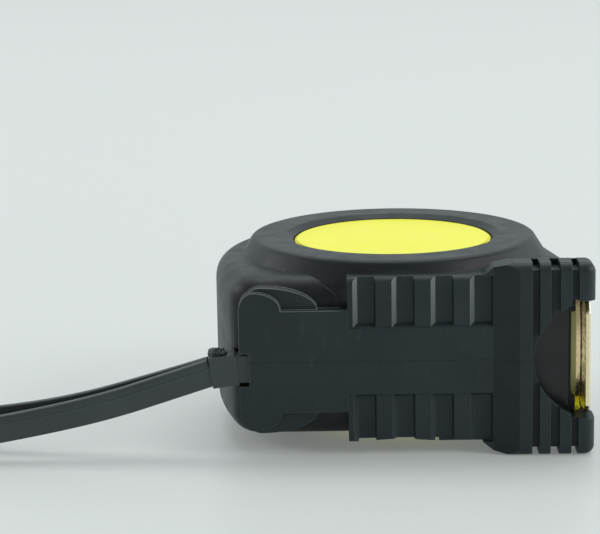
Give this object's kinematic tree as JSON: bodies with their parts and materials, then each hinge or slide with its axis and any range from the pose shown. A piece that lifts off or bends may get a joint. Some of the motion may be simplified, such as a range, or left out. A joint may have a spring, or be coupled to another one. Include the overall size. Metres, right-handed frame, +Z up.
{
  "type": "tape measure",
  "caption": "Pocket tape measure lying on its side, with a rubber jacket over a yellow case, spring reel, hooked blade, thumb lock, belt clip and wrist strap.",
  "frame": {"origin": "centre of the underside of the body as it lies on its side, without the wrist strap", "axes": "+X towards the mouth and hook, -Y out of the base, +Z up along the reel axis"},
  "size_m": [0.2122, 0.074, 0.041],
  "materials": {
    "black_rubber": "satin moulded rubber",
    "yellow_case": "gloss moulded plastic",
    "yellow_disc": "gloss plastic disc",
    "white_plastic": "natural moulded plastic",
    "spring_steel": "tempered steel strip",
    "zinc_steel": "zinc plated",
    "gold_steel": "gold passivated steel",
    "yellow_blade": "coated steel strip",
    "black_plastic": "fine grained plastic",
    "black_strap": "soft moulded flat band"
  },
  "bodies": {
    "case": {"case_upper": "yellow_case", "case_lower": "yellow_case", "grip_upper": "black_rubber", "grip_lower": "black_rubber", "face_disc_upper": "yellow_disc", "face_disc_lower": "yellow_disc", "spindle": "white_plastic", "power_spring": "spring_steel", "reel_washer_upper": "white_plastic", "reel_washer_lower": "white_plastic", "mouth_plate": "black_plastic", "hook_bumper": "black_rubber", "case_screws": "zinc_steel", "belt_clip": "spring_steel", "clip_screw": "zinc_steel", "strap_pin": "zinc_steel", "strap_collar": "black_plastic", "wrist_strap": "black_strap"},
    "reel": {"reel_drum": "white_plastic", "blade_coil": "yellow_blade"},
    "blade": {"blade_tongue": "yellow_blade", "hook_rivets": "gold_steel"},
    "hook": {"end_hook": "gold_steel"},
    "lock": {"lock_button": "black_plastic", "lock_slider": "black_plastic"}
  },
  "joints": [
    {"name": "reel_spin", "type": "hinge", "parent": "case", "child": "reel", "pos_m": [-0.0025, -0.00053, 0.0205], "axis": [0, 0, 1], "range_deg": [0, 71], "stiffness_Nm_per_rad": 0.004},
    {"name": "blade_pull", "type": "slide", "parent": "case", "child": "blade", "axis": [1, 0, 0], "range_m": [0, 0.0345]},
    {"name": "hook_slip", "type": "slide", "parent": "blade", "child": "hook", "axis": [1, 0, 0], "range_m": [0, 0.0009]},
    {"name": "lock_slide", "type": "slide", "parent": "case", "child": "lock", "axis": [0.195, -0.9808, 0], "range_m": [0, 0.006]}
  ],
  "couplings": [
    {"joint": "blade_pull", "follows": "reel_spin", "m_per_rad": 0.0273}
  ]
}
